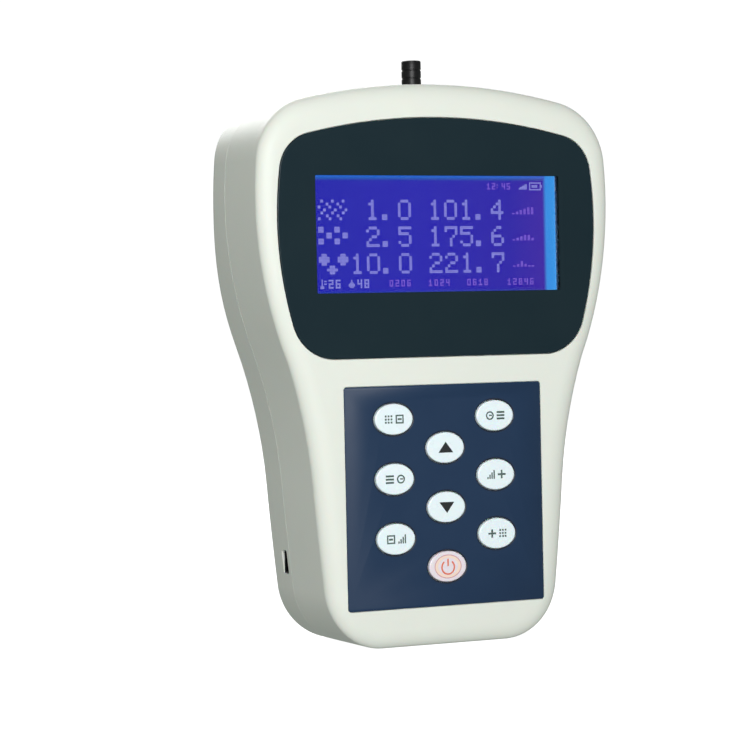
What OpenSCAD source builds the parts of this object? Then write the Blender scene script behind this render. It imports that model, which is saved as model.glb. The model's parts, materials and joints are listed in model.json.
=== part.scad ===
// Handheld air quality monitor: a wide head with a graphic display, a narrower
// grip with nine keys, a laser dust sensor with its own fan behind the display,
// and a sampling nozzle on top.
// Millimetres. X is across the case, Z runs up from the base to the nozzle, and
// the display faces -Y. Depths are counted back from the front face.

/* [Case] */
// Height of the case without the nozzle
case_h = 190; // [189:0.5:191]
// Depth of the case from the front face to the back
case_d = 45; // [45:0.5:46]
// Depth at which the front and rear shells meet
seam_d = 27.5; // [27:0.25:28]
// Thickness of the side walls
wall = 2.5; // [2.2:0.1:2.6]
// Thickness of the front wall behind the window and the keypad
face_wall = 3; // [2.9:0.1:3.1]
// How far the side walls lean in towards the front face
side_draft = 1.2; // [0.8:0.1:1.2]

/* [Case outline] */
// Radius of the crown along the top
crown_r = 220; // [210:1:230]
// Angle that half of the crown turns through
crown_turn = 12.8; // [12.6:0.1:13]
// Radius of the shoulders
shoulder_r = 23; // [22:0.5:24]
// Angle that a shoulder turns through
shoulder_turn = 72; // [71:0.5:73]
// Radius of the side of the head
head_side_r = 145; // [142:1:148]
// Angle that the side of the head turns through
head_side_turn = 25; // [24.5:0.1:25.5]
// Radius of the hollow waist between head and grip
waist_r = 180; // [175:1:185]
// Angle that the waist turns back through
waist_turn = 15.2; // [14.8:0.1:15.6]
// Angle that the side of the grip turns through
grip_turn = 1.7; // [1.5:0.1:2]
// Radius of the two bottom corners
foot_r = 22; // [21:0.5:23]

/* [Rounded edges] */
// Width of the front edge's curve beside the window
head_edge = 6.2; // [6:0.1:6.4]
// Width of the front edge's curve along the sides of the grip
grip_edge = 8; // [7.6:0.1:8.2]
// Width of the front edge's curve along the crown
crown_edge = 8; // [7:0.5:8.5]
// Depth of the front edge's curve as a share of its width
edge_flatness = 0.58; // [0.55:0.01:0.62]
// Radius of the back edge
back_edge = 4.5; // [4:0.5:5]
// Radius of the back edge down the sides of the head
head_back_edge = 8.5; // [8:0.5:9]

/* [Window] */
// Height of the top of the window
window_top = 178.6; // [178:0.1:179]
// Height of the bottom of the window
window_bottom = 97.6; // [97:0.1:98]
// Radius of the window's top edge
window_crown_r = 205; // [200:1:210]
// Angle that half of the top edge turns through
window_crown_turn = 13.6; // [13.4:0.1:13.8]
// Radius of the window's upper corners
window_shoulder_r = 13.7; // [13.2:0.1:14.2]
// Angle that an upper corner turns through
window_shoulder_turn = 68.5; // [68:0.5:69]
// Angle that a side of the window turns through
window_side_turn = 24; // [23.5:0.5:24.5]
// Radius of the window's lower corners
window_foot_r = 15.8; // [15.4:0.1:16.2]
// Thickness of the clear lens
lens_t = 1.5; // [1.4:0.1:1.6]

/* [Display] */
// Height of the middle of the display
display_z = 139.3; // [139:0.1:139.6]
// Width of the lit area
lit_w = 91.6; // [90:0.2:92]
// Height of the lit area
lit_h = 39.2; // [38:0.2:40]

/* [Keypad] */
// Width of the keypad panel
panel_w = 74; // [72:0.5:75]
// Height of the keypad panel
panel_h = 75; // [73:0.5:76]
// Height of the middle of the keypad panel
panel_z = 50.8; // [50.4:0.1:51.2]
// Width of a key
key_w = 14.1; // [13.5:0.1:14.5]
// Height of a key
key_h = 10.4; // [10:0.1:11]
// Distance of the outer key columns from the middle
column_x = 19.1; // [18.8:0.1:19.4]
// Height of the top row of the outer columns
top_row_z = 77.15; // [77:0.05:77.3]
// Distance between rows in one column
row_pitch = 20.15; // [20:0.05:20.3]
// How much lower the middle column sits
middle_drop = 10.24; // [10:0.04:10.4]
// How far a key stands proud of the front face
key_proud = 0.6; // [0.5:0.1:0.8]

/* [Air path] */
// Depth of the nozzle's axis behind the front face
nozzle_d = 20.2; // [19.8:0.1:20.6]
// Outer radius of the nozzle
nozzle_r = 3.35; // [3.3:0.05:3.45]
// Height of the nozzle above the case
nozzle_h = 9.4; // [9:0.1:10]
// Height of the middle of the fan
fan_z = 130; // [129.8:0.1:130.2]
// Side of the square fan frame
fan_side = 25; // [24.6:0.1:25]

/* [Battery and socket] */
// Radius of a battery cell
cell_r = 9.25; // [9.1:0.05:9.3]
// Length of a battery cell
cell_l = 65; // [64.5:0.5:65]
// Height of the middle of the charging and data socket
socket_z = 28.4; // [28:0.1:28.8]
// Depth of the middle of the socket behind the front face
socket_d = 32; // [31.8:0.1:32.2]

/* [Hidden] */

shell_white = [0.90, 0.92, 0.87];
lens_black = [0.10, 0.14, 0.18];
overlay_navy = [0.13, 0.20, 0.37];
key_white = [0.88, 0.94, 0.96];
board_green = [0.05, 0.35, 0.18];
part_black = [0.06, 0.06, 0.07];
metal_grey = [0.70, 0.71, 0.73];
brass_yellow = [0.80, 0.65, 0.30];
plastic_grey = [0.45, 0.47, 0.48];
rubber_grey = [0.20, 0.20, 0.21];
copper_red = [0.75, 0.20, 0.15];

round_fn = 48;
gap = 0.3;
// y of the front face: the keys, which stand proud of it, and the back are centred on y = 0
front_y = (key_proud - case_d) / 2;
inner_d = case_d - wall;

// ---- Outlines: a pen draws the right half clockwise from the top as tangent arcs ----

// Where the pen [x, z, heading] stands after a share of the arc [radius, turn, steps]
function pen(at, arc, share) =
    let (to = at[2] - arc[1] * share)
    [at[0] + arc[0] * (sin(at[2]) - sin(to)), at[1] + arc[0] * (cos(to) - cos(at[2])), to];

function trace(at, arcs, i = 0) =
    i == len(arcs) ? [at] : concat(
        [for (k = [0 : arcs[i][2] - 1]) pen(at, arcs[i], k / arcs[i][2])],
        trace(pen(at, arcs[i], 1), arcs, i + 1));

// How far the pen comes down along all the arcs
function drop(arcs, heading = 0, i = 0) =
    i == len(arcs) ? 0 :
    arcs[i][0] * (cos(heading) - cos(heading - arcs[i][1]))
    + drop(arcs, heading - arcs[i][1], i + 1);

// The left half is the right half mirrored, so each point keeps its own outward normal
function mirrored(half) =
    concat(half, [for (i = [len(half) - 1 : -1 : 1]) [-half[i][0], half[i][1], -half[i][2]]]);

function inset(path, by) = [for (p = path) [p[0] + by * sin(p[2]), p[1] - by * cos(p[2])]];

foot_turn = 180 - crown_turn - shoulder_turn - head_side_turn + waist_turn - grip_turn;
function case_arcs(grip_r) = [
    [crown_r, crown_turn, 6], [shoulder_r, shoulder_turn, 8], [head_side_r, head_side_turn, 6],
    [-waist_r, -waist_turn, 5], [grip_r, grip_turn, 2], [foot_r, foot_turn, 9]];
// drop() is linear in the open radius, so two trial values give the one that closes the outline
grip_r = (case_h - drop(case_arcs(0))) / (drop(case_arcs(1)) - drop(case_arcs(0)));
case_path = mirrored(trace([0, case_h, 0], case_arcs(grip_r)));

window_foot_turn = 180 - window_crown_turn - window_shoulder_turn - window_side_turn;
function window_arcs(side_r) = [
    [window_crown_r, window_crown_turn, 6], [window_shoulder_r, window_shoulder_turn, 8],
    [side_r, window_side_turn, 6], [window_foot_r, window_foot_turn, 8]];
window_h = window_top - window_bottom;
window_side_r = (window_h - drop(window_arcs(0))) / (drop(window_arcs(1)) - drop(window_arcs(0)));
window_path = mirrored(trace([0, window_top, 0], window_arcs(window_side_r)));

// ---- Shell forms: rings of the outline, each pulled in as the edge rounds over ----

// Height where the head's front edge starts to grow into the grip's, and how long that takes
blend_top = 120;
blend_length = 50;
// Height where the back edge starts to grow into the head's, and how long that takes
back_blend_low = 110;
back_blend_length = 45;
function smooth(t) = let (s = min(max(t, 0), 1)) s * s * (3 - 2 * s);
function front_edge(p) =
    let (up = max(0, cos(p[2])))
    head_edge
    + (grip_edge - head_edge) * smooth((blend_top - p[1]) / blend_length) * pow(sin(p[2]), 8)
    + (crown_edge - head_edge) * up * up;
function rear_edge(p) = back_edge
    + (head_back_edge - back_edge) * smooth((p[1] - back_blend_low) / back_blend_length) * pow(sin(p[2]), 8);
function draft(p) = side_draft * pow(sin(p[2]), 2) * (p[1] > window_bottom ? 0.8 : 1);

edge_step = 22.5;
function ring(path, ins, deps) = [for (i = [0 : len(path) - 1])
    [path[i][0] + ins[i] * sin(path[i][2]), front_y + deps[i], path[i][1] - ins[i] * cos(path[i][2])]];
function edge_ring(in, from, edges, drafts, t, way, flatness) = ring(case_path,
    [for (i = [0 : len(edges) - 1]) in + drafts[i] + edges[i] * (1 - cos(t))],
    [for (e = edges) from + way * flatness * e * (1 - sin(t))]);
function flat_ring(in, d) = ring(case_path, [for (p = case_path) in], [for (p = case_path) d]);

// Skins a stack of rings, front to back, and closes both ends
module loft(rings) {
    n = len(rings[0]);
    last = len(rings) - 1;
    polyhedron(
        points = [for (r = rings) each r],
        faces = concat(
            [[for (i = [0 : n - 1]) i]],
            [for (k = [0 : last - 1], i = [0 : n - 1])
                let (a = k * n + i, b = k * n + (i + 1) % n)
                each [[a, a + n, b + n], [a, b + n, b]]],
            [[for (i = [n - 1 : -1 : 0]) last * n + i]]),
        convexity = 8);
}

module front_form(in, face, end) {
    edges = [for (p = case_path) max(front_edge(p) - in, 1)];
    drafts = [for (p = case_path) draft(p)];
    loft(concat(
        [for (t = [90 : -edge_step : 0]) edge_ring(in, face, edges, drafts, t, 1, edge_flatness)],
        [flat_ring(in, end)]));
}

module rear_form(in, start, back) {
    edges = [for (p = case_path) rear_edge(p) - in];
    drafts = [for (p = case_path) 0];
    loft(concat(
        [flat_ring(in, start)],
        [for (t = [0 : edge_step : 90]) edge_ring(in, back, edges, drafts, t, -1, 1)]));
}

// ---- Building blocks placed by x, depth and z ----

// Extrudes an x-z outline from depth d0 to depth d1
module slab(d0, d1)
    translate([0, front_y + d1, 0]) rotate([90, 0, 0]) linear_extrude(d1 - d0) children();

module rod(x, z, d0, d1, r)
    translate([x, front_y + d1, z]) rotate([90, 0, 0]) cylinder(h = d1 - d0, r = r, $fn = round_fn);

module block(x, d, z)
    translate([x[0], front_y + d[0], z[0]]) cube([x[1] - x[0], d[1] - d[0], z[1] - z[0]]);

// Upright cylinder on the axis at x and depth d
module post(x, d, z0, z1, r)
    translate([x, front_y + d, z0]) cylinder(h = z1 - z0, r = r, $fn = round_fn);

function oval(w, h, n = 40) = [for (i = [0 : n - 1]) [w / 2 * cos(i * 360 / n), h / 2 * sin(i * 360 / n)]];
function rounded(w, h, r, n = 4) = [for (c = [0 : 3], k = [0 : n])
    let (a = c * 90 + k * 90 / n, sx = (c == 0 || c == 3) ? 1 : -1, sz = c < 2 ? 1 : -1)
    [sx * (w / 2 - r) + r * cos(a), sz * (h / 2 - r) + r * sin(a)]];
module at(x, z) translate([x, z]) children();

// Pan head screw seated at depth d and pointing to the front: head behind, shank in front
module pan_screw(x, z, d, length, r, head_r, head_t)
    difference() {
        union() {
            rod(x, z, d - length, d + 0.01, r);
            rod(x, z, d, d + head_t, head_r);
        }
        for (turn = [0, 90])
            translate([x, front_y + d + head_t, z]) rotate([0, turn + 45, 0])
                cube([head_r * 1.3, head_t, head_r * 0.28], center = true);
    }

// Tube of wire swept along points, with a square-cut end at each end
function unit(v) = v / norm(v);
function along(path, i) = unit(path[min(i + 1, len(path) - 1)] - path[max(i - 1, 0)]);
module wire(path, r, sides = 8) {
    n = sides;
    last = len(path) - 1;
    points = [
        for (i = [0 : last])
            let (t = along(path, i), u = unit(cross(t, [0.31, 0.17, 0.93])), v = cross(t, u))
            each [for (k = [0 : n - 1]) path[i] + r * (cos(k * 360 / n) * u + sin(k * 360 / n) * v)]
    ];
    polyhedron(points, concat(
        [[for (k = [0 : n - 1]) k]],
        [for (i = [0 : last - 1], k = [0 : n - 1])
            let (a = i * n + k, b = i * n + (k + 1) % n) each [[a, a + n, b + n], [a, b + n, b]]],
        [[for (k = [n - 1 : -1 : 0]) last * n + k]]), convexity = 6);
}

// Smooth curve through a list of hand-set points (Catmull-Rom)
function spline(p, n = 5) = concat(
    [for (i = [0 : len(p) - 2], k = [0 : n - 1])
        let (a = p[max(i - 1, 0)], b = p[i], c = p[i + 1], e = p[min(i + 2, len(p) - 1)], t = k / n)
        0.5 * (2 * b + (c - a) * t + (2 * a - 5 * b + 4 * c - e) * t * t
            + (3 * b - 3 * c + e - a) * t * t * t)],
    [p[len(p) - 1]]);
function placed(p) = [p[0], front_y + p[1], p[2]];

// ---- Where things sit: depths behind the front face, and screw positions as [x, z] ----

board_t = 1.6;
recess_d = lens_t + 0.1;
panel_recess = 0.6;
overlay_t = 0.5;
gasket_t = 0.8;
bezel_d = face_wall + gasket_t;
lcd_board_d = bezel_d + 5.1;
lcd_back = lcd_board_d + board_t;
keypad_board_d = 8.6;
keypad_back = keypad_board_d + board_t;
main_board_d = 14;
main_back = main_board_d + board_t;
sensor_front = 15.7;
sensor_back = 37.7;
sensor_low = 112;
sensor_high = 160;
sensor_half = 26;
sensor_wall = 1.6;
laser_d = 26;
laser_z = 148;
cell_x = cell_r + 0.45;
cell_d = 32.2;
cradle_half = 21.5;
cradle_low = 22.5;
cradle_high = 96.5;
cradle_floor = 20.6;
cell_bay_low = 24;
cell_bay_high = 95;
bay_middle = (cell_bay_low + cell_bay_high) / 2;
usb_board_d = socket_d + 1.95;
usb_back = usb_board_d + 1.2;
head_seat_d = case_d - 6.5;

module_board_w = 111;
module_board_h = 45.4;
main_board_w = 78.8;
main_board_low = 21.4;
main_board_high = 104;
keypad_board_w = 66.4;
keypad_board_high = 91;

function both_sides(points) = [for (s = [-1, 1], p = points) [s * p[0], p[1]]];
case_bosses = both_sides([[50, 166.5], [44, 100], [30.5, 17]]);
lcd_posts = both_sides([[52.8, display_z - 19.9], [52.8, display_z + 19.9]]);
keypad_posts = both_sides([[29.8, 25], [29.8, 87.4]]);
main_posts = both_sides([[36.5, 30], [36.5, 95]]);
sensor_posts = both_sides([[29.3, 118], [29.3, 154]]);
usb_posts = [[-30, 24.6], [-40, 35.3]];

boss_r = 3.8;
rear_boss_r = 4.2;
post_r = 2.4;
pilot_r = 0.85;
small_screw_r = 0.8;
small_screw_l = 5;
small_head_r = 1.9;
small_head_t = 1.3;
case_screw_r = 1.45;
case_head_r = 2.75;
insert_r = 2.3;
insert_l = 5.8;
shank_r = 2.5;
fan_bore_r = 11.7;
vent_rows = [-10 : 4 : 10];
vent_half = 10;
vent_r = 1;
label_z = 158;
label_w = 50;
label_h = 20;
label_recess = 0.3;
hook_x = 17.8;
door_half = 20.1;
tab_half = 7;
slot_half_d = 2.2;
slot_half_h = 4.1;

function key_z(row, middle) = top_row_z - row * row_pitch - (middle ? middle_drop : 0);
keys = [for (row = [0 : 2], column = [-1 : 1]) [column * column_x, key_z(row, column == 0)]];

function xz(path) = [for (p = path) [p[0], p[1]]];

// ---- Casing ----

module front_shell() color(shell_white) difference() {
    union() {
        difference() {
            front_form(0, 0, seam_d);
            front_form(wall, face_wall, seam_d + 1);
        }
        for (p = case_bosses) rod(p[0], p[1], face_wall - 0.1, seam_d, boss_r);
        for (p = lcd_posts) rod(p[0], p[1], face_wall - 0.1, lcd_board_d, post_r);
        for (p = keypad_posts) rod(p[0], p[1], face_wall - 0.1, keypad_board_d, post_r);
        for (p = main_posts) rod(p[0], p[1], face_wall - 0.1, main_board_d, post_r);
    }
    slab(-1, recess_d) polygon(xz(window_path));
    slab(0, face_wall + 1) at(0, display_z) polygon(rounded(lit_w + 2.8, lit_h + 2.8, 1));
    slab(-1, panel_recess) at(0, panel_z) polygon(rounded(panel_w + gap, panel_h + gap, 1.2));
    for (k = keys) slab(-1, face_wall + 1) at(k[0], k[1]) polygon(oval(key_w + 2 * gap, key_h + 2 * gap));
    slab(seam_d - 1.8, seam_d + 1) difference() {
        polygon(xz(inset(case_path, 1.1)));
        polygon(xz(inset(case_path, wall + 0.2)));
    }
    for (p = case_bosses) {
        rod(p[0], p[1], seam_d - insert_l - 0.2, seam_d + 1, insert_r);
        rod(p[0], p[1], seam_d - 10, seam_d, case_screw_r + 0.25);
    }
    for (p = lcd_posts) rod(p[0], p[1], lcd_board_d - 4.5, lcd_board_d + 1, pilot_r);
    for (p = keypad_posts) rod(p[0], p[1], keypad_board_d - 4.5, keypad_board_d + 1, pilot_r);
    for (p = main_posts) rod(p[0], p[1], main_board_d - 6, main_board_d + 1, pilot_r);
    post(0, nozzle_d, case_h - 6, case_h + 1, shank_r + 0.1);
}

module rear_shell() color(shell_white) difference() {
    union() {
        difference() {
            rear_form(0, seam_d, case_d);
            rear_form(wall, seam_d - 1, inner_d);
        }
        slab(seam_d - 1.6, seam_d + 1) difference() {
            polygon(xz(inset(case_path, 1.25)));
            polygon(xz(inset(case_path, wall)));
        }
        for (p = case_bosses) rod(p[0], p[1], seam_d, case_d - 1, rear_boss_r);
        for (p = sensor_posts) rod(p[0], p[1], sensor_back, inner_d + 0.1, post_r);
        for (p = usb_posts) rod(p[0], p[1], usb_back, inner_d + 0.1, post_r);
    }
    for (p = case_bosses) {
        rod(p[0], p[1], seam_d - 1, case_d, case_screw_r + 0.2);
        rod(p[0], p[1], head_seat_d, case_d + 1, case_head_r + 0.25);
    }
    for (p = sensor_posts) rod(p[0], p[1], sensor_back - 1, sensor_back + 4.2, pilot_r);
    for (p = usb_posts) rod(p[0], p[1], usb_back - 1, usb_back + 4.5, pilot_r);
    block([-door_half - gap, door_half + gap], [inner_d - 1, case_d + 1],
        [cell_bay_low, cell_bay_high + 0.4]);
    block([-tab_half - 0.5, tab_half + 0.5], [inner_d - 1, case_d + 1], [cell_bay_high, cell_bay_high + 4]);
    for (z = vent_rows) {
        block([-vent_half, vent_half], [inner_d - 1, case_d + 1], [fan_z + z - vent_r, fan_z + z + vent_r]);
        for (x = [-vent_half, vent_half]) rod(x, fan_z + z, inner_d - 1, case_d + 1, vent_r);
    }
    slab(case_d - label_recess, case_d + 1) at(0, label_z)
        polygon(rounded(label_w + 2 * gap, label_h + 2 * gap, 1.5));
    block([-60, -40], [socket_d - slot_half_d, socket_d + slot_half_d],
          [socket_z - slot_half_h, socket_z + slot_half_h]);
}

// Lifts out by tilting on two lower hooks; the thumb tab at its top is flush with the back
module battery_door() color(shell_white) difference() {
    union() {
        block([-door_half, door_half], [case_d - 2.3, case_d], [cell_bay_low + gap, cell_bay_high + 0.1]);
        block([-tab_half, tab_half], [case_d - 1.8, case_d], [cell_bay_high, cell_bay_high + 3.6]);
        for (s = [-1, 1]) translate([s * hook_x, 0, 0]) {
            block([-1.5, 1.5], [case_d - 4.4, case_d - 2.2], [cell_bay_low + gap, cell_bay_low + 2.3]);
            block([-1.5, 1.5], [case_d - 4.4, case_d - 2.9], [cell_bay_low - 3.2, cell_bay_low + 2.3]);
        }
    }
    for (k = [0 : 4])
        block([-9, 9], [case_d - 0.6, case_d + 1],
            [cell_bay_high - 6 - 2.4 * k, cell_bay_high - 4.8 - 2.4 * k]);
}

module case_screws() color(metal_grey)
    for (p = case_bosses) pan_screw(p[0], p[1], head_seat_d, 16, case_screw_r, case_head_r, 2.2);

module case_inserts() color(brass_yellow) for (p = case_bosses) difference() {
    rod(p[0], p[1], seam_d - insert_l, seam_d - 0.1, insert_r);
    rod(p[0], p[1], seam_d - insert_l - 1, seam_d + 1, case_screw_r + 0.05);
}

module rating_label() color(metal_grey)
    slab(case_d - label_recess, case_d - 0.05) at(0, label_z) polygon(rounded(label_w, label_h, 1.2));

// ---- Display ----

module display_lens() color(lens_black)
    slab(recess_d - lens_t, recess_d) polygon(xz(inset(window_path, 0.2)));

module display_frame(d0, d1, w, h, hole_w, hole_h) slab(d0, d1) at(0, display_z) difference() {
    polygon(rounded(w, h, 0.8));
    polygon(rounded(hole_w, hole_h, 0.6));
}

module display_gasket() color(rubber_grey)
    display_frame(face_wall, bezel_d, 100, 46, lit_w + 3.8, lit_h + 3.8);

module lcd_bezel() color(metal_grey) {
    display_frame(bezel_d, bezel_d + 0.5, 100, 44, lit_w + 1.2, lit_h + 1.2);
    display_frame(bezel_d + 0.5, lcd_board_d, 100, 44, 99, 43);
}

module lcd_glass() color("midnightblue")
    slab(bezel_d + 0.5, bezel_d + 2.5) at(0, display_z) polygon(rounded(98.6, 42.6, 0.5));

module lcd_backlight() color("lavender")
    slab(bezel_d + 2.55, lcd_board_d - 0.05) at(0, display_z) polygon(rounded(98.6, 42.6, 0.5));

module lcd_board() color(board_green) difference() {
    slab(lcd_board_d, lcd_back) at(0, display_z) polygon(rounded(module_board_w, module_board_h, 1));
    for (p = lcd_posts) rod(p[0], p[1], lcd_board_d - 1, lcd_back + 1, small_screw_r + 0.25);
}

module lcd_drivers() color(part_black) for (x = [-30, 0, 30]) {
    rod(x, display_z + 3, lcd_back, lcd_back + 0.9, 6);
    rod(x, display_z + 3, lcd_back + 0.85, lcd_back + 1.4, 4.4);
}

module small_screws(posts, seat_d) color(metal_grey) for (p = posts)
    pan_screw(p[0], p[1], seat_d, small_screw_l, small_screw_r, small_head_r, small_head_t);

module lcd_board_screws() small_screws(lcd_posts, lcd_back);

// Flat flexible cable: a strip bent along [depth, z] points, from x0 to x1
module flat_cable(points, x0, x1, t) {
    line = spline([for (p = points) [0, front_y + p[0], p[1]]]);
    sides = [for (s = [-1, 1]) [for (i = [0 : len(line) - 1])
        let (a = along(line, i)) [line[i][1] - s * t / 2 * a[2], line[i][2] + s * t / 2 * a[1]]]];
    translate([x0, 0, 0]) rotate([90, 0, 90]) linear_extrude(x1 - x0)
        polygon(concat(sides[0], [for (i = [len(line) - 1 : -1 : 0]) sides[1][i]]));
}

module lcd_ribbon() color("ivory")
    flat_cable([[11.4, 117.5], [11.4, 113], [12.6, 109], [15.4, 106.2], [17, 104.4], [16.8, 101.6]],
        -35, -15, 0.3);

// ---- Keypad ----

module keypad_overlay() color(overlay_navy)
    slab(panel_recess - overlay_t, panel_recess) difference() {
        at(0, panel_z) polygon(rounded(panel_w, panel_h, 1));
        for (k = keys) at(k[0], k[1]) polygon(oval(key_w + 2 * gap, key_h + 2 * gap));
    }

// Key cap with the flange that keeps it in and the stem that works its switch
flange_d = face_wall + gap;
module key_cap(column, row) color(key_white) {
    z = key_z(row, column == 0);
    slab(-key_proud, flange_d) at(column * column_x, z) polygon(oval(key_w, key_h));
    slab(flange_d, flange_d + 1) at(column * column_x, z) polygon(oval(key_w + 2.4, key_h + 2.4));
    rod(column * column_x, z, flange_d + 0.9, flange_d + 3, 1.6);
}

module key_left_top() key_cap(-1, 0);
module key_left_middle() key_cap(-1, 1);
module key_left_bottom() key_cap(-1, 2);
module key_right_top() key_cap(1, 0);
module key_right_middle() key_cap(1, 1);
module key_right_bottom() key_cap(1, 2);
module key_up() key_cap(0, 0);
module key_down() key_cap(0, 1);
module key_power() key_cap(0, 2);

module key_switches() color(part_black) for (k = keys) difference() {
    block([k[0] - 3, k[0] + 3], [keypad_board_d - 3.3, keypad_board_d], [k[1] - 3, k[1] + 3]);
    rod(k[0], k[1], keypad_board_d - 4, keypad_board_d - 1.3, 1.9);
}

module keypad_board() color(board_green) difference() {
    block([-keypad_board_w / 2, keypad_board_w / 2], [keypad_board_d, keypad_back],
          [main_board_low, keypad_board_high]);
    for (p = keypad_posts) rod(p[0], p[1], keypad_board_d - 1, keypad_back + 1, small_screw_r + 0.25);
}

module keypad_board_screws() small_screws(keypad_posts, keypad_back);

// Row of pins joining the keypad board to the main board behind it
module keypad_header() color(part_black) {
    pitch = 2.54;
    block([-5 * pitch, 5 * pitch], [keypad_back + 0.8, main_board_d - 0.8], [56.8, 59.3]);
    for (k = [-4.5 : 1 : 4.5])
        block([k * pitch - 0.3, k * pitch + 0.3], [keypad_back, main_board_d], [57.7, 58.3]);
}

// ---- Main board ----

module main_board() color(board_green) difference() {
    block([-main_board_w / 2, main_board_w / 2], [main_board_d, main_back],
          [main_board_low, main_board_high]);
    for (p = main_posts) rod(p[0], p[1], main_board_d - 1, main_back + 1, small_screw_r + 0.25);
}

module main_board_screws() small_screws(main_posts, main_back);

// One component standing on the back of the main board
module part_on_board(x, z, w, h, t)
    block([x - w / 2, x + w / 2], [main_back, main_back + t], [z - h / 2, z + h / 2]);

module board_chips() color(part_black) {
    part_on_board(0, 68, 14, 14, 1.4);
    part_on_board(-18, 70, 6, 5, 1.5);
    part_on_board(-18, 58, 8, 5.3, 1.8);
    part_on_board(16, 52, 5, 6, 1.5);
    part_on_board(18, 74, 7, 7, 3);
    part_on_board(14, 36, 7, 7, 3);
    part_on_board(-10, 84, 5, 4, 1.2);
    part_on_board(4, 86, 3.2, 2.5, 1);
}

module board_connectors() color("white") {
    part_on_board(0, 28.5, 7, 5, 4.2);
    part_on_board(-31, 47.6, 6, 4.8, 4);
    part_on_board(15, 100.5, 8, 5, 4);
    part_on_board(-25, 99.8, 22, 3.5, 2.2);
    block([-36, -14], [lcd_back, lcd_back + 1.8], [117.5, 120.5]);
    block([-34, -28], [usb_board_d - 3.7, usb_board_d], [30.5, 36]);
}

module buzzer() color(part_black) difference() {
    rod(30, 78, main_back, main_back + 4.5, 6);
    rod(30, 78, main_back + 3, main_back + 5, 1.1);
}

// ---- Charging and data socket, in the left side ----

module usb_board() color(board_green) difference() {
    block([-42.8, -27], [usb_board_d, usb_back], [21.6, 38]);
    for (p = usb_posts) rod(p[0], p[1], usb_board_d - 1, usb_back + 1, small_screw_r + 0.25);
}

socket_mouth_x = -45.4;
module usb_socket() color(metal_grey) difference() {
    block([socket_mouth_x, -37], [socket_d - 1.95, usb_board_d], [socket_z - 3.85, socket_z + 3.85]);
    block([socket_mouth_x - 1, -37.4], [socket_d - 1.55, socket_d + 1.55],
          [socket_z - 3.45, socket_z + 3.45]);
}

module usb_tongue() color(part_black)
    block([socket_mouth_x + 1, -37.4], [socket_d - 0.3, socket_d + 0.6], [socket_z - 2.6, socket_z + 2.6]);

module usb_board_screws() color(metal_grey) for (p = usb_posts)
    translate([0, 2 * (front_y + usb_board_d), 0]) mirror([0, 1, 0])
        pan_screw(p[0], p[1], usb_board_d, small_screw_l, small_screw_r, small_head_r, small_head_t);

// Side-by-side wires, spaced along X, all following the same [x, depth, z] points
module harness(points, count, pitch, r)
    for (k = [0 : count - 1]) translate([(k - (count - 1) / 2) * pitch, 0, 0])
        wire(spline([for (p = points) placed(p)]), r);

module usb_cable() color(part_black)
    harness([[-31, 32, 36.1], [-31, 32, 38], [-31, 30.4, 41], [-31, 25.6, 42.6], [-31, 20.4, 42.4],
             [-31, 17.8, 43.6], [-31, 17.8, 45.1]], 4, 1.1, 0.45);

// ---- Battery ----

// Stands its children at one cell position: the right-hand cell is the other way up
module station(side)
    translate([side * cell_x, 0, side > 0 ? 2 * bay_middle : 0])
        mirror([0, 0, side > 0 ? 1 : 0]) children();

contact_t = 0.8;
contact_low = cell_bay_low + 0.1;
spring_low = contact_low + contact_t;
spring_high = spring_low + 4.1;
cell_top = spring_high + cell_l;
plate_half = 6;
plate_d = [25.4, 38];

module battery_cradle() color(plastic_grey) difference() {
    block([-cradle_half, cradle_half], [cradle_floor, inner_d - 0.1], [cradle_low, cradle_high]);
    for (s = [-1, 1]) post(s * cell_x, cell_d, cell_bay_low, cell_bay_high, cell_r + 0.35);
    block([-20, 20], [cell_d, case_d], [cell_bay_low, cell_bay_high]);
    block([-cell_x - plate_half - gap, cell_x + plate_half + gap], [plate_d[0] - gap, case_d],
          [cell_bay_high - contact_t - 2 * gap, cell_bay_high]);
    for (s = [-1, 1]) {
        translate([s * hook_x, 0, 0])
            block([-2, 2], [case_d - 7, case_d], [cradle_low - 1, cell_bay_low + 1]);
        translate([s * cell_x, 0, 0])
            block([-2.2, 2.2], [23.8, 25.7], [cradle_low - 1, cell_bay_low + 1]);
    }
}

module battery_cells() color(metal_grey) for (s = [-1, 1]) station(s) {
    post(0, cell_d, spring_high, cell_top - 1.2, cell_r - 0.15);
    post(0, cell_d, cell_top - 1.21, cell_top, 3);
}

module cell_wraps() color("royalblue") for (s = [-1, 1]) station(s) difference() {
    post(0, cell_d, spring_high + 0.6, cell_top - 1.6, cell_r);
    post(0, cell_d, spring_high, cell_top, cell_r - 0.15);
}

module battery_springs() color(metal_grey) for (s = [-1, 1]) station(s)
    let (turns = 3, steps = 12 * turns, wire_r = 0.4, rise = spring_high - spring_low - 2 * wire_r - 0.1)
        wire([for (i = [0 : steps]) let (t = i / steps, r = 4 - 1.6 * t)
            [r * cos(360 * turns * t), front_y + cell_d + r * sin(360 * turns * t),
             spring_low + wire_r + 0.05 + rise * t]], wire_r, 6);

module battery_contacts() color(metal_grey) {
    for (s = [-1, 1]) translate([s * cell_x, 0, 0]) {
        block([-plate_half, plate_half], plate_d, [contact_low, contact_low + contact_t]);
        block([-2, 2], [24, plate_d[0] + 0.1], [cradle_low - 2, contact_low + contact_t]);
    }
    block([-cell_x - plate_half, cell_x + plate_half], plate_d,
          [cell_bay_high - 0.1 - contact_t, cell_bay_high - 0.1]);
}

module battery_leads() color(copper_red) for (s = [-1, 1])
    wire(spline([for (p = [[s * cell_x, 23.9, 21.2], [s * 8.6, 21, 21], [s * 5, 18.6, 21.8],
        [s * 1.8, 17.8, 23.8], [s * 1.4, 17.8, 25.9]]) placed(p)]), 0.6);

// ---- Laser dust sensor ----

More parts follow.
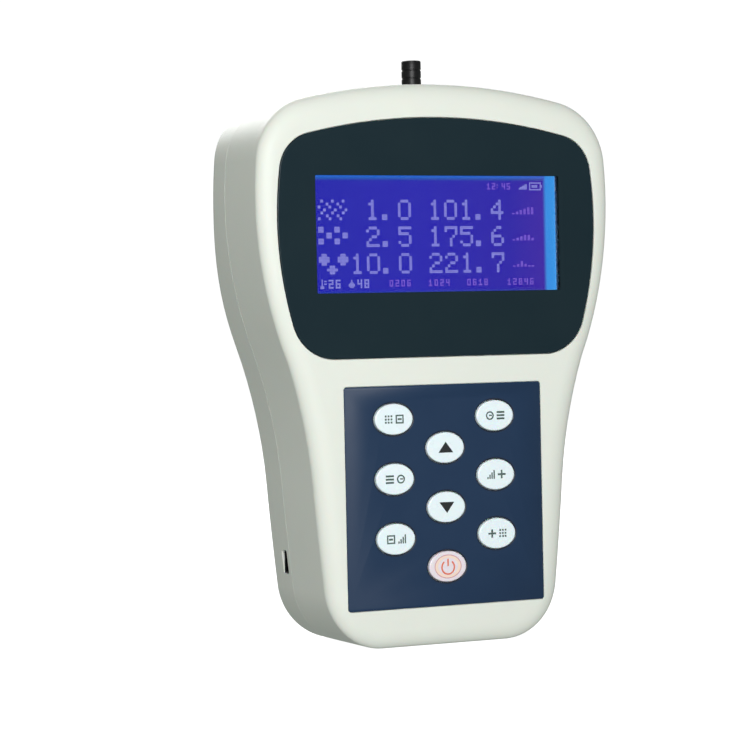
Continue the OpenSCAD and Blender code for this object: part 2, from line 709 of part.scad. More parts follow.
module cross_rod(x0, x1, d, z, r)
    translate([x0, front_y + d, z]) rotate([0, 90, 0]) cylinder(h = x1 - x0, r = r, $fn = round_fn);

module sensor_housing() color(part_black) difference() {
    in = sensor_half - sensor_wall;
    union() {
        difference() {
            block([-sensor_half, sensor_half], [sensor_front, sensor_back], [sensor_low, sensor_high]);
            block([-in, in], [sensor_front - 1, sensor_back - sensor_wall],
                  [sensor_low + sensor_wall, sensor_high - sensor_wall]);
        }
        for (p = sensor_posts, s = sign(p[0]))
            block([min(s * 25.5, s * 32.4), max(s * 25.5, s * 32.4)], [sensor_back - 2, sensor_back],
                  [p[1] - 3.4, p[1] + 3.4]);
        for (x = [[-in - 0.1, -in + 2], [in - 2, in + 0.1]])
            block(x, [18.5, 20], [sensor_low + sensor_wall, sensor_high - sensor_wall]);
        block([-22, -12], [laser_d - 2, sensor_back - 1], [laser_z - 4.4, laser_z + 4.4]);
        block([17, 22], [laser_d - 4, sensor_back - 1], [laser_z - 4.4, laser_z + 4.4]);
        post(0, nozzle_d, sensor_high - 0.1, sensor_high + 6, 2.1);
    }
    post(0, nozzle_d, sensor_high - 3, sensor_high + 7, 1.5);
    rod(0, fan_z, sensor_back - 3, sensor_back + 1, fan_bore_r - 0.2);
    cross_rod(-23, -11, laser_d, laser_z, 3.35);
    cross_rod(16, 20.5, laser_d, laser_z, 2);
    for (p = sensor_posts) rod(p[0], p[1], sensor_back - 3, sensor_back + 1, small_screw_r + 0.25);
    block([11, 19], [18.6, 22], [sensor_low - 1, sensor_low + 2]);
}

module sensor_cover() color(metal_grey) {
    block([-sensor_half, sensor_half], [sensor_front - 0.6, sensor_front], [sensor_low, sensor_high]);
    for (x = [[-sensor_half - 0.4, -sensor_half], [sensor_half, sensor_half + 0.4]])
        block(x, [sensor_front - 0.6, sensor_front + 6], [sensor_low + 8, sensor_high - 8]);
}

module sensor_board() color(board_green) {
    block([-24.2, 24.2], [17.3, 18.5], [sensor_low + 1.8, sensor_high - 1.8]);
    block([11.2, 18.8], [18.5, 21.5], [sensor_low + 2, sensor_low + 5]);
}

module laser_module() color(brass_yellow) {
    cross_rod(-23.4, -11, laser_d, laser_z, 3.3);
    cross_rod(-11.01, -9.6, laser_d, laser_z, 1.8);
}

module photodiode() color(part_black) {
    block([-2.5, 2.5], [18.5, 20], [laser_z - 2.5, laser_z + 2.5]);
    rod(0, laser_z, 19.9, 20.6, 1.6);
}

fan_front = 29.1;
fan_back = sensor_back - sensor_wall;
module fan_frame() color(part_black) difference() {
    union() {
        difference() {
            block([-fan_side / 2, fan_side / 2], [fan_front, fan_back],
                  [fan_z - fan_side / 2, fan_z + fan_side / 2]);
            rod(0, fan_z, fan_front - 1, fan_back + 1, fan_bore_r);
        }
        rod(0, fan_z, fan_back - 1.2, fan_back, 5);
        for (a = [30, 150, 270]) translate([0, front_y + fan_back - 0.6, fan_z]) rotate([0, a, 0])
            translate([8.2, 0, 0]) cube([7.4, 1.2, 1.4], center = true);
    }
    rod(0, fan_z, fan_back - 3, fan_back + 1, 0.8);
}

module fan_rotor() color(plastic_grey) {
    blades = 7;
    rod(0, fan_z, fan_front + 1.5, fan_back - 1.6, 5);
    rod(0, fan_z, fan_back - 1.7, fan_back - 0.2, 0.75);
    for (k = [0 : blades - 1])
        translate([0, front_y + fan_front + 3.3, fan_z]) rotate([0, k * 360 / blades, 0])
            translate([8, 0, 0]) rotate([35, 0, 0]) cube([6.6, 4.4, 0.6], center = true);
}

module exhaust_gasket() color(rubber_grey) slab(sensor_back, inner_d) at(0, fan_z) difference() {
    square(28, center = true);
    circle(r = fan_bore_r - 0.1, $fn = round_fn);
}

module sensor_screws() color(metal_grey) for (p = sensor_posts)
    translate([0, 2 * (front_y + sensor_back - 2), 0]) mirror([0, 1, 0])
        pan_screw(p[0], p[1], sensor_back - 2, small_screw_l, small_screw_r, small_head_r, small_head_t);

module sensor_cable() color("silver")
    harness([[15, 20, 113.9], [15, 20, 111], [15, 18.9, 107], [15, 17.8, 104.6], [15, 17.6, 103.1]],
        5, 1.2, 0.45);

// ---- Sampling nozzle ----

seal_t = 0.6;
module inlet_nozzle() color(part_black) difference() {
    tip = case_h + nozzle_h;
    union() {
        post(0, nozzle_d, case_h + seal_t, tip - 0.4, nozzle_r);
        translate([0, front_y + nozzle_d, tip - 0.4])
            rotate_extrude($fn = round_fn)
                polygon([[0, 0], [nozzle_r, 0], [nozzle_r - 0.4, 0.4], [0, 0.4]]);
        post(0, nozzle_d, case_h - 7.5, case_h + seal_t + 0.1, shank_r);
        post(0, nozzle_d, case_h - 14, case_h - 7.4, 2.1);
    }
    post(0, nozzle_d, case_h - 15, tip + 1, 1.6);
}

module collar(d, z0, z1, r, hole_r) difference() {
    post(0, d, z0, z1, r);
    post(0, d, z0 - 1, z1 + 1, hole_r);
}

module nozzle_seal() color(rubber_grey)
    collar(nozzle_d, case_h + 0.02, case_h + seal_t, nozzle_r + 0.4, shank_r + 0.02);

module nozzle_nut() color(brass_yellow) difference() {
    translate([0, front_y + nozzle_d, case_h - wall - 3.1]) cylinder(h = 3, r = 4.6, $fn = 6);
    post(0, nozzle_d, case_h - wall - 4, case_h, shank_r + 0.02);
}

module inlet_tube() color("lightgrey")
    collar(nozzle_d, sensor_high + 0.4, case_h - 8.4, 3.2, 2.12);

// ---- Assembly ----

front_shell();
rear_shell();
battery_door();
case_screws();
case_inserts();
rating_label();
display_lens();
display_gasket();
lcd_bezel();
lcd_glass();
lcd_backlight();
lcd_board();
lcd_drivers();
lcd_board_screws();
lcd_ribbon();
keypad_overlay();
key_left_top();
key_left_middle();
key_left_bottom();
key_right_top();
key_right_middle();
key_right_bottom();
key_up();
key_down();
key_power();
key_switches();
keypad_board();
keypad_board_screws();
keypad_header();
main_board();
main_board_screws();
board_chips();
board_connectors();
buzzer();
usb_board();
usb_socket();
usb_tongue();
usb_board_screws();
usb_cable();
battery_cradle();
battery_cells();
cell_wraps();
battery_springs();
battery_contacts();
battery_leads();
sensor_housing();
sensor_cover();
sensor_board();
laser_module();
photodiode();
fan_frame();
fan_rotor();
exhaust_gasket();
sensor_screws();
sensor_cable();
inlet_nozzle();
nozzle_seal();
nozzle_nut();
inlet_tube();
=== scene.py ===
import json
from math import atan2, ceil, cos, hypot, pi, radians, sin, sqrt, tan

import bmesh
import bpy
from mathutils import Matrix, Vector
from mathutils.geometry import tessellate_polygon


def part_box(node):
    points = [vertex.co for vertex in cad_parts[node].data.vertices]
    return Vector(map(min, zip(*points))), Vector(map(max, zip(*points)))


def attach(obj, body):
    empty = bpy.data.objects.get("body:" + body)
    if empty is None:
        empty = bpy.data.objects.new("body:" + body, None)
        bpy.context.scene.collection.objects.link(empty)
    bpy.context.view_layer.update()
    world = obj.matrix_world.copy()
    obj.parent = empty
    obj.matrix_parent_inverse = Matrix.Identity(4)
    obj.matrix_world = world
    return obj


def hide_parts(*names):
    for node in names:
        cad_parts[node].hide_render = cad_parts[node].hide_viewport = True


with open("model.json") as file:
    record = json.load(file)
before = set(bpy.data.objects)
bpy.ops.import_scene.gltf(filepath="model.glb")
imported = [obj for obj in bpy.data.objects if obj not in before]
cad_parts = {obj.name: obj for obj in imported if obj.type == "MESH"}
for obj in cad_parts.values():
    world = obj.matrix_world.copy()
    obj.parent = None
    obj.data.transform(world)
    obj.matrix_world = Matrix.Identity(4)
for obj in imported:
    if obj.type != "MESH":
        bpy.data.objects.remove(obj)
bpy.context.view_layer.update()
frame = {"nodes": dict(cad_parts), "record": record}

MM = 0.001
FRONT_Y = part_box("front_shell")[0].y / MM
CASE_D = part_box("rear_shell")[1].y / MM - FRONT_Y
CASE_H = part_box("front_shell")[1].z / MM

# Case, as in the CAD source
SEAM_D = 27.5
WALL = 2.5
FACE_WALL = 3
SIDE_DRAFT = 1.2
CASE_ARCS = [(220, 12.8), (23, 72), (145, 25), (-180, -15.2), (None, 1.7), (22, None)]
HEAD_EDGE, GRIP_EDGE, CROWN_EDGE = 6.2, 8, 8
BACK_EDGE, HEAD_BACK_EDGE, BACK_BLEND_LOW, BACK_BLEND_LENGTH = 4.5, 8.5, 110, 45
EDGE_FLATNESS = 0.58
BLEND_TOP, BLEND_LENGTH = 120, 50
SEAM_BEVEL = 0.12

# Window, display and keypad
WINDOW_TOP, WINDOW_LOW = 178.6, 97.6
WINDOW_ARCS = [(205, 13.6), (13.7, 68.5), (None, 24), (15.8, None)]
RECESS_D, LENS_D = 1.6, 0.1
DISPLAY_Z, LIT_W, LIT_H = 139.3, 91.6, 39.2
PANEL_W, PANEL_H, PANEL_Z, PANEL_RECESS = 74, 75, 50.8, 0.6
KEY_W, KEY_H, KEY_PROUD, KEY_GAP = 14.1, 10.4, 0.6, 0.3
KEYS = [n for n in frame["nodes"] if n.startswith("key_") and n != "key_switches"]

# Back, screws, socket and nozzle
VENT_Z, VENT_HALF, VENT_R, VENT_PITCH, VENTS = 130, 10, 1, 4, 6
LABEL_Z, LABEL_W, LABEL_H = 158, 50, 20
DOOR_LOW, DOOR_TOP, DOOR_HALF, TAB_HALF, TAB_H = 24, 95, 20.1, 7, 3.6
SCREWS = [(side * x, z) for side in (-1, 1) for x, z in ((50, 166.5), (44, 100), (30.5, 17))]
BOSS_W, WELL_W, WELL_DEPTH, SCREW_HOLE_W = 8.4, 6, 6.5, 3.3
SOCKET_Z, SOCKET_D, SLOT_HALF_D, SLOT_HALF_H = 28.4, 32, 2.2, 4.1
NOZZLE_D, NOZZLE_R, NOZZLE_H, NOZZLE_HOLE_R = 20.2, 3.35, 9.4, 2.6


# ---- Outlines: lists of (x, z, normal x, normal z) in millimetres, clockwise from the top ----

def arc_outline(top, height, arcs):
    """Tangent arcs of (radius, turn in degrees), mirrored about x = 0. The last turn completes the half
    turn, and the arc with no radius gets the one that makes the outline as high as it should be.
    No step is longer than most_turn degrees or most_length millimetres."""
    most_turn, most_length = 2.0, 6
    left = 180 - sum(turn for _, turn in arcs if turn is not None)
    arcs = [(r, left if turn is None else turn) for r, turn in arcs]

    def drop(open_r):
        down, heading = 0, 0
        for r, turn in arcs:
            end = heading + radians(turn)
            down += (open_r if r is None else r) * (cos(heading) - cos(end))
            heading = end
        return down

    open_r = (height - drop(0)) / (drop(1) - drop(0))
    x, z, heading, half = 0, top, 0, []
    for r, turn in arcs:
        r = open_r if r is None else r
        steps = max(4, ceil(abs(turn) / most_turn), ceil(abs(r * radians(turn)) / most_length))
        for k in range(steps):
            h = heading + radians(turn) * k / steps
            across, down = r * (sin(h) - sin(heading)), r * (cos(heading) - cos(h))
            half.append((x + across, z - down, sin(h), cos(h)))
        end = heading + radians(turn)
        x, z, heading = x + r * (sin(end) - sin(heading)), z - r * (cos(heading) - cos(end)), end
    half.append((x, z, sin(heading), cos(heading)))
    return half + [(-x, z, -nx, nz) for x, z, nx, nz in half[:0:-1]]


def oval(w, h, x=0, z=0, n=96):
    points = []
    for k in range(n):
        a = 2 * pi * k / n
        nx, nz = sin(a) / w, cos(a) / h
        size = hypot(nx, nz)
        points.append((x + w / 2 * sin(a), z + h / 2 * cos(a), nx / size, nz / size))
    return points


def filleted(polygon, r, steps=6):
    """A polygon, clockwise, with every corner rounded to radius r."""
    points = []
    for i, (x, z) in enumerate(polygon):
        ax, az = polygon[i - 1]
        bx, bz = polygon[(i + 1) % len(polygon)]
        ux, uz = (x - ax) / hypot(x - ax, z - az), (z - az) / hypot(x - ax, z - az)
        vx, vz = (bx - x) / hypot(bx - x, bz - z), (bz - z) / hypot(bx - x, bz - z)
        side = 1 if ux * vz - uz * vx < 0 else -1
        start, end = atan2(side * ux, -side * uz), atan2(side * vx, -side * vz)
        turn = (end - start + pi) % (2 * pi) - pi
        reach = r * tan(abs(turn) / 2)
        cx, cz = x - ux * reach + side * uz * r, z - uz * reach - side * ux * r
        for k in range(steps + 1):
            a = start + turn * k / steps
            nx, nz = cos(a), sin(a)
            points.append((cx + r * nx, cz + r * nz, side * nx, side * nz))
    return points


def corners(x, z, w, h):
    """Corners of an upright rectangle about (x, z), clockwise."""
    right, left, top, low = x + w / 2, x - w / 2, z + h / 2, z - h / 2
    return [(left, top), (right, top), (right, low), (left, low)]


def box_outline(w, h, r, x=0, z=0, steps=6):
    return filleted(corners(x, z, w, h), r, steps)


def point(x, d, z):
    return Vector((x, FRONT_Y + d, z)) * MM


# ---- Meshes ----

class Skin:
    """A mesh made of rings joined by bands, and of flat faces with holes."""

    def __init__(self):
        self.bm = bmesh.new()

    def ring(self, points):
        return [self.bm.verts.new(p) for p in points]

    def lay(self, path, inset, depth):
        """A ring along an outline: inset and depth are numbers, or functions of the outline's point."""
        made = []
        for p in path:
            i = inset(p) if callable(inset) else inset
            d = depth(p) if callable(depth) else depth
            made.append(point(p[0] - i * p[2], d, p[1] - i * p[3]))
        return self.ring(made)

    def band(self, a, b, mat=0):
        for i in range(len(a)):
            k = (i + 1) % len(a)
            self.bm.faces.new((a[i], a[k], b[k], b[i])).material_index = mat

    def stack(self, rings, mat=0):
        for a, b in zip(rings, rings[1:]):
            self.band(a, b, mat)
        return rings

    def fill(self, outer, holes=(), mat=0):
        loops = [outer, *holes]
        verts = [v for loop in loops for v in loop]
        flat = [[Vector((v.co.x, v.co.z, 0)) for v in loop] for loop in loops]
        for triangle in tessellate_polygon(flat):
            if len(set(triangle)) == 3:
                self.bm.faces.new([verts[i] for i in triangle]).material_index = mat

    def fan(self, ring, tip):
        top = self.bm.verts.new(tip)
        for i in range(len(ring)):
            self.bm.faces.new((ring[i], ring[(i + 1) % len(ring)], top))

    def block(self, corner, size, mat=0):
        """A box in millimetres: corner and size are (x, depth, z)."""
        x, d, z = corner
        w, t, h = size
        foot = [(x, z, 0, 0), (x, z + h, 0, 0), (x + w, z + h, 0, 0), (x + w, z, 0, 0)]
        rings = self.stack([self.lay(foot, 0, d), self.lay(foot, 0, d + t)], mat)
        for r in rings:
            self.bm.faces.new(r).material_index = mat

    def prism(self, path, d0, d1):
        for ring in self.stack([self.lay(path, 0, d0), self.lay(path, 0, d1)]):
            self.fill(ring)

    def done(self, name, *materials, sharp=40):
        bmesh.ops.recalc_face_normals(self.bm, faces=self.bm.faces[:])
        mesh = bpy.data.meshes.new(name)
        self.bm.to_mesh(mesh)
        self.bm.free()
        obj = bpy.data.objects.new(name, mesh)
        bpy.context.scene.collection.objects.link(obj)
        for m in materials:
            mesh.materials.append(m)
        shade(obj, sharp)
        return obj


def shade(obj, sharp):
    mesh = obj.data
    mesh.polygons.foreach_set("use_smooth", [True] * len(mesh.polygons))
    mesh.set_sharp_from_angle(angle=radians(sharp))


def combine(body, tool, operation, sharp=40):
    """Applies a boolean of tool on body, and removes tool."""
    change = body.modifiers.new("change", "BOOLEAN")
    change.operation, change.object, change.solver = operation, tool, "EXACT"
    graph = bpy.context.evaluated_depsgraph_get()
    made = bpy.data.meshes.new_from_object(body.evaluated_get(graph))
    body.modifiers.clear()
    made.materials.clear()
    for m in body.data.materials:
        made.materials.append(m)
    body.data = made
    bpy.data.objects.remove(tool)
    shade(body, sharp)


def even(body):
    """Lets the large flat faces set the shading next to small rounded lips."""
    weigh = body.modifiers.new("normals", "WEIGHTED_NORMAL")
    weigh.keep_sharp = True
    return body


def well(skin, path, surface, floor, lip, way=1):
    """A cutter that sinks an outline from a face at depth surface to depth floor, with a rounded
    lip. Way is 1 on the front face and -1 on the back."""
    steps = 4
    rings = [skin.lay(path, -lip, surface - way * 2)]
    for k in range(steps + 1):
        a = pi / 2 * k / steps
        rings.append(skin.lay(path, -lip * (1 - sin(a)), surface + way * (lip * (1 - cos(a)) - 0.01)))
    rings.append(skin.lay(path, 0, floor))
    skin.stack(rings)
    skin.fill(rings[0])
    skin.fill(rings[-1])


def circle(r, z, n):
    """Points of a level circle about the nozzle's axis."""
    turns = [2 * pi * k / n for k in range(n)]
    return [point(r * sin(a), NOZZLE_D + r * cos(a), z) for a in turns]


def turned(skin, profile):
    """A closed ring-shaped solid about the nozzle's axis; profile is (r, z)."""
    rings = [skin.ring(circle(r, z, 64)) for r, z in profile]
    skin.stack([*rings, rings[0]])


def rides(obj, body, replaced=()):
    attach(obj, body)
    if replaced:
        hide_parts(*replaced)
    return obj


# ---- Materials ----

def rgb(r, g, b):
    """Linear colour of an 8-bit screen colour."""
    return tuple((c / 255 / 12.92) if c / 255 <= 0.04045 else ((c / 255 + 0.055) / 1.055) ** 2.4
                 for c in (r, g, b)) + (1,)


class Finish:
    """A Principled material whose colour, roughness and relief come from noise in the frame's metres."""

    def __init__(self, name, color, roughness, **fixed):
        self.material = bpy.data.materials.new(name)
        self.material.use_nodes = True
        self.tree = self.material.node_tree
        self.shader = self.tree.nodes["Principled BSDF"]
        self.color = color
        self.shader.inputs["Base Color"].default_value = color
        self.shader.inputs["Roughness"].default_value = roughness
        self.roughness = roughness
        for key, value in fixed.items():
            self.shader.inputs[key.replace("_", " ").title().replace("Ior", "IOR")].default_value = value
        self.place = self.node("ShaderNodeTexCoord").outputs["Object"]

    def node(self, kind, **values):
        made = self.tree.nodes.new(kind)
        for key, value in values.items():
            setattr(made, key, value)
        return made

    def link(self, a, b):
        self.tree.links.new(a, b)

    def noise(self, size_mm, detail=3, stretch=(1, 1, 1)):
        mapping = self.node("ShaderNodeMapping")
        mapping.inputs["Scale"].default_value = stretch
        self.link(self.place, mapping.inputs["Vector"])
        noise = self.node("ShaderNodeTexNoise")
        noise.inputs["Scale"].default_value = 1 / (size_mm * MM)
        noise.inputs["Detail"].default_value = detail
        self.link(mapping.outputs["Vector"], noise.inputs["Vector"])
        return noise.outputs["Fac"]

    def ramp(self, axis, low, high, stops):
        """A colour that runs through the stops along an axis, from low to high in millimetres."""
        axes = self.node("ShaderNodeSeparateXYZ")
        self.link(self.place, axes.inputs["Vector"])
        spread = self.node("ShaderNodeMapRange")
        self.link(axes.outputs[axis], spread.inputs["Value"])
        spread.inputs["From Min"].default_value = low * MM
        spread.inputs["From Max"].default_value = high * MM
        colors = self.node("ShaderNodeValToRGB")
        self.link(spread.outputs["Result"], colors.inputs["Fac"])
        band = colors.color_ramp.elements
        while len(band) < len(stops):
            band.new(0.5)
        for element, (place, color) in zip(band, stops):
            element.position = place
            element.color = color
        return colors.outputs["Color"]

    def tint(self, size_mm, other, stretch=(1, 1, 1)):
        """Drifts the base colour towards another one in patches of about this size."""
        mix = self.node("ShaderNodeMix", data_type="RGBA")
        self.link(self.noise(size_mm, stretch=stretch), mix.inputs["Factor"])
        mix.inputs["A"].default_value = self.color
        mix.inputs["B"].default_value = other
        self.link(mix.outputs["Result"], self.shader.inputs["Base Color"])
        return self

    def wear(self, size_mm, swing, stretch=(1, 1, 1)):
        """Varies the roughness up and down by swing."""
        spread = self.node("ShaderNodeMapRange")
        self.link(self.noise(size_mm, 4, stretch), spread.inputs["Value"])
        spread.inputs["To Min"].default_value = self.roughness - swing
        spread.inputs["To Max"].default_value = self.roughness + swing
        self.link(spread.outputs["Result"], self.shader.inputs["Roughness"])
        return self

    def grain(self, size_mm, depth_mm, strength=0.5, stretch=(1, 1, 1)):
        bump = self.node("ShaderNodeBump")
        bump.inputs["Strength"].default_value = strength
        bump.inputs["Distance"].default_value = depth_mm * MM
        self.link(self.noise(size_mm, 2, stretch), bump.inputs["Height"])
        self.link(bump.outputs["Normal"], self.shader.inputs["Normal"])
        return self


def plastic(name, color, other, roughness, grain=(0.5, 0.02), **fixed):
    return Finish(name, color, roughness, **fixed).tint(14, other).wear(6, 0.05).grain(*grain).material


def metal(name, color, other, roughness):
    made = Finish(name, color, roughness, metallic=1).tint(3, other).wear(1.5, 0.07)
    return made.grain(0.4, 0.01, 0.3).material


shell_plastic = plastic("shell_plastic", rgb(232, 235, 226), rgb(228, 232, 223), 0.46, (0.35, 0.012),
                        subsurface_weight=0.06, subsurface_scale=0.001, specular_ior_level=0.3)
window_print = (Finish("window_print", rgb(20, 38, 46), 0.25, specular_ior_level=0.22)
                .tint(25, rgb(28, 44, 50)).wear(9, 0.03).grain(3, 0.004, 0.2).material)
window_clear = (Finish("window_clear", rgb(232, 236, 250), 0.03, transmission_weight=1, ior=1.2)
                .tint(20, rgb(226, 231, 248)).material)
navy_film = plastic("navy_film", rgb(34, 56, 84), rgb(28, 50, 79), 0.42, (0.25, 0.008),
                    specular_ior_level=0.25)
# Darker navy round each key hole and down its wall: painted shade of the gap round the key
gap_shade_navy = plastic("gap_shade_navy", rgb(20, 34, 56), rgb(17, 30, 50), 0.4, (0.25, 0.008))
key_plastic = plastic("key_plastic", rgb(238, 250, 254), rgb(233, 246, 251), 0.28, (0.6, 0.006),
                      subsurface_weight=0.08, subsurface_scale=0.0008)
power_plastic = plastic("power_plastic", rgb(238, 230, 236), rgb(234, 222, 230), 0.28, (0.6, 0.006),
                        subsurface_weight=0.08, subsurface_scale=0.0008)
grey_ink = plastic("grey_ink", rgb(84, 104, 98), rgb(70, 88, 82), 0.5, (0.2, 0.004))
black_ink = plastic("black_ink", rgb(22, 26, 28), rgb(34, 38, 40), 0.5, (0.2, 0.004))
red_ink = plastic("red_ink", rgb(222, 106, 82), rgb(230, 128, 96), 0.5, (0.2, 0.004))
rose_ink = plastic("rose_ink", rgb(206, 150, 160), rgb(212, 160, 168), 0.5, (0.2, 0.004))
warm_ink = plastic("warm_ink", rgb(250, 226, 208), rgb(246, 218, 200), 0.4, (0.2, 0.004))
black_metal = (Finish("black_metal", rgb(12, 12, 13), 0.42, specular_ior_level=0.3)
               .tint(3, rgb(22, 22, 24)).wear(1.5, 0.06, (1, 1, 8))
               .grain(0.25, 0.01, 0.4, (1, 1, 8)).material)
rubber = plastic("rubber", rgb(30, 30, 32), rgb(38, 38, 40), 0.72, (0.3, 0.02))
black_plastic = plastic("black_plastic", rgb(26, 26, 28), rgb(34, 34, 36), 0.45)
grey_plastic = plastic("grey_plastic", rgb(120, 124, 126), rgb(110, 114, 116), 0.5)
white_plastic = plastic("white_plastic", rgb(232, 230, 220), rgb(224, 222, 210), 0.45)
plated_steel = metal("plated_steel", rgb(190, 192, 196), rgb(172, 174, 178), 0.28)
dark_steel = metal("dark_steel", rgb(58, 60, 64), rgb(48, 50, 54), 0.4)
brass = metal("brass", rgb(200, 164, 92), rgb(184, 148, 80), 0.3)
silicone = plastic("silicone", rgb(204, 208, 206), rgb(196, 200, 198), 0.35, (0.8, 0.01),
                   subsurface_weight=0.3, subsurface_scale=0.002)
label_foil = (Finish("label_foil", rgb(176, 178, 182), 0.34, metallic=0.8)
              .tint(8, rgb(166, 168, 172)).wear(2, 0.05, (1, 1, 12))
              .grain(0.3, 0.006, 0.3, (1, 1, 12)).material)
cell_wrap = plastic("cell_wrap", rgb(44, 84, 168), rgb(36, 74, 156), 0.25, (1.2, 0.01))
flat_cable = plastic("flat_cable", rgb(222, 216, 198), rgb(206, 198, 176), 0.3, (1.27, 0.02))
wire_insulation = plastic("wire_insulation", rgb(40, 40, 44), rgb(52, 50, 54), 0.42, (0.6, 0.01))
lead_red = plastic("lead_red", rgb(168, 38, 32), rgb(150, 32, 28), 0.42, (0.6, 0.01))
backlight_guide = plastic("backlight_guide", rgb(224, 230, 248), rgb(214, 222, 246), 0.2, (2, 0.01))


def board_finish():
    """Green solder mask with copper tracks showing through as slightly lighter lines."""
    made = Finish("circuit_board", rgb(16, 88, 52), 0.3).wear(5, 0.06)
    wave = made.node("ShaderNodeTexWave", wave_type="BANDS", bands_direction="DIAGONAL")
    wave.inputs["Scale"].default_value = 420
    wave.inputs["Distortion"].default_value = 9
    wave.inputs["Detail"].default_value = 1
    made.link(made.place, wave.inputs["Vector"])
    mix = made.node("ShaderNodeMix", data_type="RGBA")
    made.link(wave.outputs["Fac"], mix.inputs["Factor"])
    mix.inputs["A"].default_value = rgb(14, 80, 47)
    mix.inputs["B"].default_value = rgb(24, 108, 64)
    made.link(mix.outputs["Result"], made.shader.inputs["Base Color"])
    return made.grain(0.8, 0.01).material


def glow(name, color, strength, other):
    """A lit pixel: an emissive surface that shimmers slightly between two colours."""
    made = Finish(name, (0.01, 0.01, 0.02, 1), 0.5)
    mix = made.node("ShaderNodeMix", data_type="RGBA")
    made.link(made.noise(0.4, 1), mix.inputs["Factor"])
    mix.inputs["A"].default_value = color
    mix.inputs["B"].default_value = other
    made.link(mix.outputs["Result"], made.shader.inputs["Emission Color"])
    made.shader.inputs["Emission Strength"].default_value = strength
    return made.material


def lcd_finish():
    """Blue display, violet towards the right, with the backlight leaking at the right and top."""
    made = Finish("lcd_glass", rgb(2, 2, 6), 0.2, specular_ior_level=0.2)
    half = LIT_W / 2 + 1.6
    across = made.ramp("X", -half, half, [
        (0.0, rgb(26, 24, 182)), (0.45, rgb(36, 26, 184)), (0.80, rgb(44, 22, 176)),
        (0.94, rgb(66, 28, 172)), (0.953, rgb(60, 160, 240)), (1.0, rgb(70, 176, 248))])
    up = made.ramp("Z", DISPLAY_Z - LIT_H / 2, DISPLAY_Z + LIT_H / 2, [
        (0.0, rgb(30, 60, 190)), (0.03, rgb(0, 0, 0)), (0.955, rgb(0, 0, 0)), (0.99, rgb(30, 110, 214))])
    add = made.node("ShaderNodeMix", data_type="RGBA", blend_type="LIGHTEN")
    add.inputs["Factor"].default_value = 1
    made.link(across, add.inputs["A"])
    made.link(up, add.inputs["B"])
    cells = made.node("ShaderNodeMix", data_type="RGBA", blend_type="MULTIPLY")
    cells.inputs["Factor"].default_value = 0.22
    made.link(add.outputs["Result"], cells.inputs["A"])
    fine = made.node("ShaderNodeTexVoronoi", distance="CHEBYCHEV")
    fine.inputs["Scale"].default_value = 1 / (0.46 * MM)
    fine.inputs["Randomness"].default_value = 0
    made.link(made.place, fine.inputs["Vector"])
    made.link(fine.outputs["Distance"], cells.inputs["B"])
    made.link(cells.outputs["Result"], made.shader.inputs["Emission Color"])
    made.shader.inputs["Emission Strength"].default_value = 1.05
    return made.material


SLOTS = {
    "shell_plastic": shell_plastic, "window_lens": window_clear, "keypad_film": navy_film,
    "key_plastic": key_plastic, "lcd_glass": lcd_finish(), "lcd_backlight": backlight_guide,
    "circuit_board": board_finish(), "black_plastic": black_plastic, "grey_plastic": grey_plastic,
    "white_plastic": white_plastic, "plated_steel": plated_steel, "brass": brass,
    "black_metal": black_metal, "rubber": rubber, "silicone": silicone, "label": label_foil,
    "cell_wrap": cell_wrap, "flat_cable": flat_cable, "wire_insulation": wire_insulation,
}


def finish_cad_nodes():
    """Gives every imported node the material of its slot, and two of them their own."""
    for part in frame["record"]["subparts"]:
        obj = frame["nodes"][part["node"]]
        obj.data.materials.clear()
        obj.data.materials.append(SLOTS[part["material_slot"]])
    for name, other in (("battery_leads", lead_red), ("usb_socket", dark_steel)):
        materials = frame["nodes"][name].data.materials
        materials.clear()
        materials.append(other)


# ---- Case ----

case_path = arc_outline(CASE_H, CASE_H, CASE_ARCS)
window_path = arc_outline(WINDOW_TOP, WINDOW_TOP - WINDOW_LOW, WINDOW_ARCS)
panel_path = box_outline(PANEL_W, PANEL_H, 1, 0, PANEL_Z)


def smooth(t):
    t = min(max(t, 0), 1)
    return t * t * (3 - 2 * t)


def front_edge(p):
    """Width of the front edge's curve at a point of the case outline."""
    grip = (GRIP_EDGE - HEAD_EDGE) * smooth((BLEND_TOP - p[1]) / BLEND_LENGTH) * p[2] ** 8
    return HEAD_EDGE + grip + (CROWN_EDGE - HEAD_EDGE) * max(0, p[3]) ** 2


def inner_edge(p):
    return front_edge(p) - WALL


def draft(p):
    return SIDE_DRAFT * p[2] ** 2 * (0.8 if p[1] > WINDOW_LOW else 1)


def rounded_edge(skin, inset, face, way, edge, lean, flatness, steps):
    """Rings from the flat face, round the edge, to where the side wall starts."""
    rings = []
    for k in range(steps + 1):
        a = pi / 2 * (1 - k / steps)
        side, back = 1 - cos(a), way * flatness * (1 - sin(a))
        rings.append(skin.lay(case_path, lambda p: inset + lean(p) + edge(p) * side,
                              lambda p: face + edge(p) * back))
    return rings


